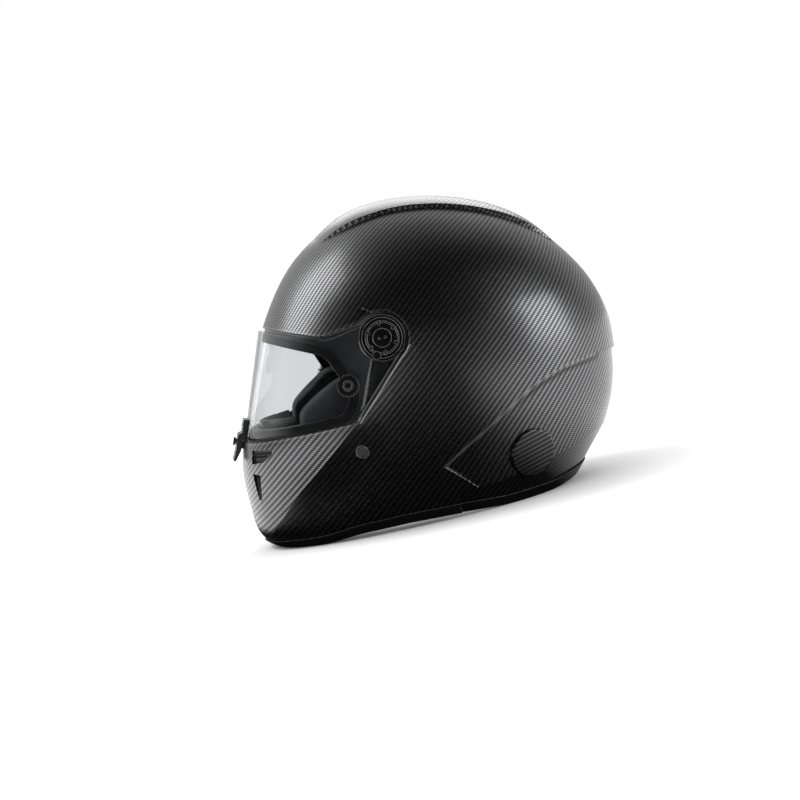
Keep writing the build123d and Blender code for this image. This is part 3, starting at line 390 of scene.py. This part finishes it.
def knit(name, colour, pitch=1.1 * MM):
    """Knitted lining: staggered loops over soft mottling."""
    mat, n, shader, place = material(name, colour, 0.92, specular=0.25)
    shader.inputs["Sheen Weight"].default_value = 0.25
    shader.inputs["Sheen Roughness"].default_value = 0.5
    x, y, z = n.separate(place)
    u = n.math("ADD", n.math("DIVIDE", n.math("ADD", x, y), pitch), n.math("DIVIDE", z, pitch * 3.0))
    v = n.math("DIVIDE", n.math("SUBTRACT", z, n.math("MULTIPLY", y, 0.2)), pitch)
    loops = n.math("MULTIPLY", n.math("PINGPONG", u, 0.5), n.math("PINGPONG", v, 0.5))
    mottle = n.noise(place, 140.0, 3.0)
    dark = tuple(c * 0.55 for c in colour)
    raised = n.math("MULTIPLY", loops, 3.2, clamp=True)
    n.link(n.mix(raised, (*dark, 1), (*colour, 1)), shader.inputs["Base Color"])
    height = n.math("ADD", loops, n.math("MULTIPLY", mottle, 0.25))
    n.link(n.bump(height, 0.35 * MM, 0.8), shader.inputs["Normal"])
    return mat


def foam(name, colour):
    """Bead foam: small cells, a little uneven in colour."""
    mat, n, shader, place = material(name, colour, 0.85, specular=0.3)
    cells = n.add("ShaderNodeTexVoronoi")
    n.link(place, cells.inputs["Vector"])
    cells.inputs["Scale"].default_value = 330.0
    dark = tuple(c * 0.7 for c in colour)
    n.link(n.mix(n.spread(cells.outputs["Distance"], 0.0, 0.6, 1.0, 0.0), (*dark, 1), (*colour, 1)),
           shader.inputs["Base Color"])
    n.link(n.bump(n.math("SUBTRACT", 1.0, cells.outputs["Distance"]), 0.3 * MM, 0.5), shader.inputs["Normal"])
    return mat


def webbing(name, colour):
    """Woven strap: fine chevrons along it."""
    mat, n, shader, place = material(name, colour, 0.72, specular=0.3)
    shader.inputs["Sheen Weight"].default_value = 0.15
    x, y, z = n.separate(place)
    zigzag = n.math("PINGPONG", n.math("DIVIDE", y, 1.6 * MM), 1.0)
    along = n.math("ADD", n.math("DIVIDE", n.math("ADD", z, n.math("MULTIPLY", x, 0.5)), 1.3 * MM), zigzag)
    rib = n.math("PINGPONG", along, 0.5)
    dark = tuple(c * 0.5 for c in colour)
    raised = n.math("MULTIPLY", rib, 2.0, clamp=True)
    n.link(n.mix(raised, (*dark, 1), (*colour, 1)), shader.inputs["Base Color"])
    n.link(n.bump(rib, 0.25 * MM, 0.8), shader.inputs["Normal"])
    return mat


def brushed(name, colour, rough=0.3):
    """Turned or brushed metal."""
    mat, n, shader, place = material(name, colour, rough, metal=1.0)
    stretched = n.vector("MULTIPLY", place, (0.06, 1.0, 1.0))
    lines = n.noise(stretched, 2400.0, 2.0)
    n.link(n.spread(lines, 0.3, 0.7, rough - 0.08, rough + 0.12), shader.inputs["Roughness"])
    dark = tuple(c * 0.85 for c in colour)
    n.link(n.mix(lines, (*dark, 1), (*colour, 1)), shader.inputs["Base Color"])
    n.link(n.bump(lines, 0.02 * MM, 0.4), shader.inputs["Normal"])
    return mat


CARBON = carbon("satin_twill_carbon")
COVER_CARBON = carbon("cover_twill_carbon", -32.0, disc=((-0.31, 0.95, 0.0), (0.30, 0.10, 0.95)))
CLEAR = clear_sheet()
GLOSS = plastic("gloss_black_plastic", (0.004, 0.004, 0.0045), 0.14, specular=0.8, coat=1.0, edge=0.6 * MM,
                edge_highlight=0.50)
MATTE = plastic("matte_black_plastic", (0.008, 0.008, 0.0085), 0.34, 0.02 * MM, 1400.0, specular=0.7)
RUBBER = plastic("black_rubber", (0.006, 0.006, 0.006), 0.42, 0.03 * MM, 700.0, specular=0.25, edge_highlight=0.26)
FOAM = foam("dark_bead_foam", (0.035, 0.035, 0.038))
KNIT = knit("knitted_lining", (0.030, 0.030, 0.034))
WEB = webbing("strap_webbing", (0.040, 0.040, 0.044))
THREAD = plastic("stitching_thread", (0.075, 0.075, 0.080), 0.7)
STEEL = brushed("brushed_steel", (0.60, 0.61, 0.63))
ALUMINIUM = brushed("satin_aluminium", (0.78, 0.79, 0.81), 0.30)
PLUG = plastic("grey_plug_plastic", (0.055, 0.055, 0.058), 0.38, 0.02 * MM, 1200.0)
MESH = plastic("mesh_black_plastic", (0.006, 0.006, 0.006), 0.6)


def dress(mat, *names):
    """Gives a CAD node its material."""
    for name in names:
        node = bpy.data.objects[name]
        node.data.materials.clear()
        node.data.materials.append(mat)


def pair(*names):
    return [name + side for name in names for side in ("_left", "_right")]


dress(CARBON, "outer_shell")
dress(COVER_CARBON, *pair("anchor_cover"))
dress(FOAM, "eps_liner", "chin_liner")
dress(MATTE, "breath_guard", "visor_tab", "latch_strike", *pair("pivot_base"))
dress(RUBBER, "base_trim", "eye_port_seal")
dress(CLEAR, "visor")
dress(GLOSS, "tab_button", *pair("pivot_knob", "lock_button", "hub_cap", "tear_off_post"))
dress(STEEL, "tab_screws", "strap_snap", "ring_inner", "ring_outer",
      *pair("post_screw", "strap_plate", "strap_rivet"))
dress(MESH, *pair("chin_vent_mesh", "chin_slot_mesh"))
dress(ALUMINIUM, *pair("port_ring", "anchor_insert"))
dress(PLUG, *pair("port_plug"))
dress(KNIT, "crown_pad", "side_lining", "neck_roll", *pair("cheek_pad"))


# Pads: cell of their mesh, how far they are drawn in, the share that they swell back, and how many frames
# their cloth runs
PAD_VOXEL = 4.0 * MM
PAD_SHRINK = 2.2 * MM
PAD_SWELL_SHARE = 0.85
CLOTH_FRAMES = 16


def swollen(pad, cap):
    """Lets pressure swell a pad as cloth, no point moving further than the cap."""
    cloth = pad.modifiers.new("cloth", "CLOTH")
    cloth.settings.use_pressure = True
    cloth.settings.uniform_pressure_force = 4.0
    cloth.settings.effector_weights.gravity = 0.0
    cloth.settings.quality = 4
    cloth.point_cache.frame_start, cloth.point_cache.frame_end = 1, CLOTH_FRAMES
    scene = bpy.context.scene
    for number in range(1, CLOTH_FRAMES + 1):
        scene.frame_set(number)
    graph = bpy.context.evaluated_depsgraph_get()
    moved = [vertex.co.copy() for vertex in pad.evaluated_get(graph).data.vertices]
    scene.frame_set(1)
    pad.modifiers.clear()
    for vertex, place in zip(pad.data.vertices, moved):
        step = place - vertex.co
        vertex.co += step * min(1.0, cap / max(step.length, 1e-9))


def padded_piece(node, name, body="helmet"):
    """Swollen pad made from the space that its CAD solid holds."""
    source = bpy.data.objects[node]
    mesh = source.data.copy()
    mesh.transform(source.matrix_world)
    pad = bpy.data.objects.new(name, mesh)
    bpy.context.scene.collection.objects.link(pad)
    remesh = pad.modifiers.new("remesh", "REMESH")
    remesh.mode = "VOXEL"
    remesh.voxel_size = PAD_VOXEL
    smooth = pad.modifiers.new("smooth", "CORRECTIVE_SMOOTH")
    smooth.iterations = 8
    smooth.use_only_smooth = True
    graph = bpy.context.evaluated_depsgraph_get()
    mesh = bpy.data.meshes.new_from_object(pad.evaluated_get(graph))
    pad.modifiers.clear()
    pad.data = mesh
    pad.data.materials.clear()
    pad.data.materials.append(KNIT)
    inward = [vertex.normal * PAD_SHRINK for vertex in mesh.vertices]
    for vertex, step in zip(mesh.vertices, inward):
        vertex.co -= step
    swollen(pad, PAD_SHRINK * PAD_SWELL_SHARE)
    for polygon in mesh.polygons:
        polygon.use_smooth = True
    subdivide = pad.modifiers.new("subdivide", "SUBSURF")
    subdivide.levels = subdivide.render_levels = 1
    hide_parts(node)
    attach(pad, body)


for node in ["crown_pad", "side_lining", "neck_roll", *pair("cheek_pad")]:
    padded_piece(node, node + "_cushion")


# Webbing: routes are (x, z) places in metres on the wearer's left, at the straps' own place along the helmet
STRAP_Y = 12.0 * MM
STRAP_HALF = 9.9 * MM
STRAP_THICK = 1.9 * MM
STRAP_TOP = [Vector((113.5, 80.0)) * MM, Vector((108.9, 54.0)) * MM]
LOOP_CENTRE = Vector((90.0, 36.0)) * MM


def rounded_route(route, bends, steps=9):
    """Route with its inner corners turned into arcs."""
    places = [route[0]]
    for before, corner, after, bend in zip(route, route[1:], route[2:], bends):
        back, ahead = (before - corner).normalized(), (after - corner).normalized()
        half = back.angle(ahead) / 2
        cut = bend / math.tan(half)
        centre = corner + (back + ahead).normalized() * bend / math.sin(half)
        start, end = corner + back * cut - centre, corner + ahead * cut - centre
        for step in range(steps + 1):
            places.append(centre + start.lerp(end, step / steps).normalized() * bend)
    places.append(route[-1])
    return places


def divided(places, longest=3.0 * MM):
    """Places with long steps split up."""
    out = [places[0]]
    for low, high in zip(places, places[1:]):
        count = max(1, math.ceil((high - low).length / longest))
        out += [low.lerp(high, step / count) for step in range(1, count + 1)]
    return out


def ribbon(points, faces, places, side, thick, closed=False):
    """Adds flat webbing along places to a mesh: a rounded section, a little thicker at its woven edges."""
    section = [(-1.0, 0.0), (-0.985, 0.62), (-0.94, 0.95), (-0.82, 1.0), (-0.76, 0.88), (-0.35, 0.90),
               (0.0, 0.92), (0.35, 0.90), (0.76, 0.88), (0.82, 1.0), (0.94, 0.95), (0.985, 0.62), (1.0, 0.0)]
    section += [(wide, -high) for wide, high in reversed(section[1:-1])]
    count, base, rows = len(section), len(points), len(places)
    for row, place in enumerate(places):
        after = places[(row + 1) % rows] if closed else places[min(row + 1, rows - 1)]
        before = places[row - 1] if closed or row else place
        along = (after - before).normalized()
        out = Vector((-along.y, along.x))
        for wide, high in section:
            flat = place + out * high * thick / 2
            points.append((side * flat.x, STRAP_Y + wide * STRAP_HALF, flat.y))
    for row in range(rows if closed else rows - 1):
        low, high = base + row * count, base + (row + 1) % rows * count
        for k in range(count):
            faces.append((low + k, low + (k + 1) % count, high + (k + 1) % count, high + k))
    if not closed:
        faces.append(tuple(range(base, base + count)))
        faces.append(tuple(range(base + (rows - 1) * count, base + rows * count)))


def stitches(points, faces, place, along, side, lift):
    """Adds a bar of close slanted stitches across a strap, on both of its faces."""
    out = Vector((-along.y, along.x))
    for face_side in (-1, 1):
        for row in (-1, 1):
            for k in range(13):
                wide = (k - 6) * 1.3 * MM
                ends = []
                for end in (-1, 1):
                    middle = place + along * (row * 1.6 + end * 0.8) * MM + out * face_side * lift
                    ends.append((middle, STRAP_Y + wide + end * row * 0.3 * MM))
                base = len(points)
                for middle, y in ends:
                    for a, b in ((-1, -0.4), (1, -0.4), (0.6, 0.9), (-0.6, 0.9)):
                        flat = middle + out * face_side * b * 0.25 * MM
                        points.append((side * flat.x, y + a * 0.24 * MM, flat.y))
                for k4 in range(4):
                    faces.append((base + k4, base + (k4 + 1) % 4, base + 4 + (k4 + 1) % 4, base + 4 + k4))
                faces.append((base, base + 1, base + 2, base + 3))
                faces.append((base + 4, base + 5, base + 6, base + 7))


def strap_piece(name, node, build, side, sewn_at, along, lift):
    """Webbing with its sewn bar, in place of a strap's CAD solid."""
    points, faces = [], []
    build(points, faces, side)
    strap_faces = len(faces)
    stitches(points, faces, sewn_at, along, side, lift)
    mesh = bpy.data.meshes.new(name)
    mesh.from_pydata([tuple(point) for point in points], [], faces)
    mesh.materials.append(WEB)
    mesh.materials.append(THREAD)
    for number, polygon in enumerate(mesh.polygons):
        polygon.use_smooth = number < strap_faces
        polygon.material_index = 0 if number < strap_faces else 1
    strap = bpy.data.objects.new(name, mesh)
    bpy.context.scene.collection.objects.link(strap)
    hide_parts(node)
    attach(strap, "helmet")


def short_strap(points, faces, side):
    """Left strap: down from its plate to the loop that holds the rings."""
    route = rounded_route(STRAP_TOP + [LOOP_CENTRE + Vector((0.0, 3.6)) * MM], [12.0 * MM])
    ribbon(points, faces, divided(route), side, STRAP_THICK)
    loop = []
    for centre, start in ((2.4 * MM, -90.0), (-2.4 * MM, 90.0)):
        for step in range(13):
            turn = math.radians(start + step * 15.0)
            spoke = Vector((math.cos(turn), math.sin(turn))) * 3.2 * MM
            loop.append(LOOP_CENTRE + Vector((centre, 0.0)) + spoke)
    ribbon(points, faces, loop, side, 1.5 * MM, closed=True)


def long_strap(points, faces, side):
    """Right strap: down to its fold and back up beside itself."""
    folded = [Vector((86.0, 11.0)) * MM, Vector((82.82, 12.69)) * MM, Vector((93.83, 33.33)) * MM]
    route = STRAP_TOP + folded
    ribbon(points, faces, divided(rounded_route(route, [12.0 * MM, 1.3 * MM, 1.3 * MM])), side, STRAP_THICK)


slant = (Vector((90.0, 39.6)) - Vector((108.9, 54.0))).normalized()
sewn_at = LOOP_CENTRE + Vector((0.0, 3.6)) * MM - slant * 4.0 * MM
strap_piece("webbing_left", "strap_left", short_strap, 1.0, sewn_at, slant, 0.95 * MM)
fold = (Vector((86.0, 11.0)) - Vector((108.9, 54.0))).normalized()
strap_piece("webbing_right", "strap_right", long_strap, -1.0, Vector((102.0, 41.0)) * MM, fold, 0.95 * MM)


def lamp(name, place, target, size_x, size_y, power):
    """White area lamp that points at a target, unseen through the visor."""
    data = bpy.data.lights.new(name, "AREA")
    data.shape = "RECTANGLE"
    data.size, data.size_y = size_x, size_y
    data.energy = power
    light = bpy.data.objects.new(name, data)
    bpy.context.scene.collection.objects.link(light)
    light.location = place
    light.rotation_euler = (Vector(target) - Vector(place)).to_track_quat("-Z", "Y").to_euler()
    light.visible_transmission = False


def white_world():
    """White where the camera looks, and where glass and metal mirror what is behind; plain grey elsewhere."""
    world = bpy.data.worlds.new("studio")
    bpy.context.scene.world = world
    world.use_nodes = True
    n = Nodes(world.node_tree)
    background = world.node_tree.nodes["Background"]
    rays = n.add("ShaderNodeLightPath")
    direction = n.add("ShaderNodeTexCoord").outputs["Generated"]
    behind = n.spread(n.vector("DOT_PRODUCT", direction, (-1.0, 0.0, -0.1)), -0.15, 0.45, 0.015, 1.0)
    bent = n.math("MAXIMUM", rays.outputs["Is Glossy Ray"], rays.outputs["Is Transmission Ray"])
    brighter = n.math("SUBTRACT", bent, n.math("MULTIPLY", rays.outputs["Is Glossy Ray"], 0.35))
    mirrored = n.math("MULTIPLY", brighter, behind)
    plain = n.math("MULTIPLY", n.math("SUBTRACT", 1.0, bent), 0.5)
    seen = n.math("MAXIMUM", rays.outputs["Is Camera Ray"], mirrored)
    n.link(n.math("MAXIMUM", seen, plain), background.inputs["Strength"])
    background.inputs["Color"].default_value = (1, 1, 1, 1)


def white_floor():
    """White floor that keeps the helmet's shadow, with a painted contact shadow that dims its glow near the
    helmet, and a painted reflection for glossy rays.
    """
    data = bpy.data.meshes.new("floor")
    half = 12.0
    corners = [(-half, -half, 0), (half, -half, 0), (half, half, 0), (-half, half, 0)]
    data.from_pydata(corners, [], [(0, 1, 2, 3)])
    floor = bpy.data.objects.new("floor", data)
    bpy.context.scene.collection.objects.link(floor)
    mat = bpy.data.materials.new("floor_white")
    mat.use_nodes = True
    n = Nodes(mat.node_tree)
    mat.node_tree.nodes.remove(mat.node_tree.nodes["Principled BSDF"])
    diffuse = n.add("ShaderNodeBsdfDiffuse")
    diffuse.inputs[0].default_value = (0.9, 0.9, 0.9, 1)
    glow = n.add("ShaderNodeEmission")
    glow.inputs[0].default_value = (1, 1, 1, 1)
    rays = n.add("ShaderNodeLightPath")
    seen = n.math("MAXIMUM", rays.outputs["Is Camera Ray"], rays.outputs["Is Transmission Ray"])
    # Painted contact shadow: the glow is dimmed where ambient occlusion finds the helmet near
    near = n.add("ShaderNodeAmbientOcclusion", samples=8)
    near.inputs["Distance"].default_value = 0.10
    painted_shadow_factor = n.spread(near.outputs["AO"], 0.2, 1.0, 0.1, 1.0)
    n.link(n.math("MULTIPLY", n.math("MULTIPLY", seen, 0.56), painted_shadow_factor), glow.inputs[1])
    add = n.add("ShaderNodeAddShader")
    n.link(diffuse.outputs[0], add.inputs[0])
    n.link(glow.outputs[0], add.inputs[1])
    # Painted reflection: to glossy rays the floor is nearly black, and glows brighter than white in zones in
    # front of, behind and on the far side of the helmet, which put the highlights on the shell
    mirrored = n.add("ShaderNodeEmission")
    place = n.separate(n.add("ShaderNodeTexCoord").outputs["Object"])
    beside = n.spread(place[0], 0.5, 0.9, 1.0, 0.0)
    rear = n.math("MULTIPLY", n.spread(place[1], 0.09, 0.22, 0.0, 1.6), beside)
    front = n.spread(place[1], -0.19, -0.23, 0.01, 1.7)
    far = n.spread(place[0], -0.12, -0.3, 0.01, 1.0)
    n.link(n.math("MAXIMUM", n.math("MAXIMUM", rear, far), front), mirrored.inputs[1])
    mix = n.add("ShaderNodeMixShader")
    n.link(rays.outputs["Is Glossy Ray"], mix.inputs[0])
    n.link(add.outputs[0], mix.inputs[1])
    n.link(mirrored.outputs[0], mix.inputs[2])
    n.link(mix.outputs[0], mat.node_tree.nodes["Material Output"].inputs["Surface"])
    data.materials.append(mat)


white_world()
white_floor()
lamp("front_box", (-0.40, -1.20, 1.45), (0, 0, 0.15), 1.1, 1.1, 16.0)
lamp("rear_box", (0.75, 1.60, 0.20), (0, 0, 0.13), 0.9, 1.1, 15.0)
lamp("top_box", (-1.5, 0.25, 0.9), (0, 0, 0.2), 1.0, 0.6, 4.0)
bpy.context.scene.view_settings.view_transform = "Standard"
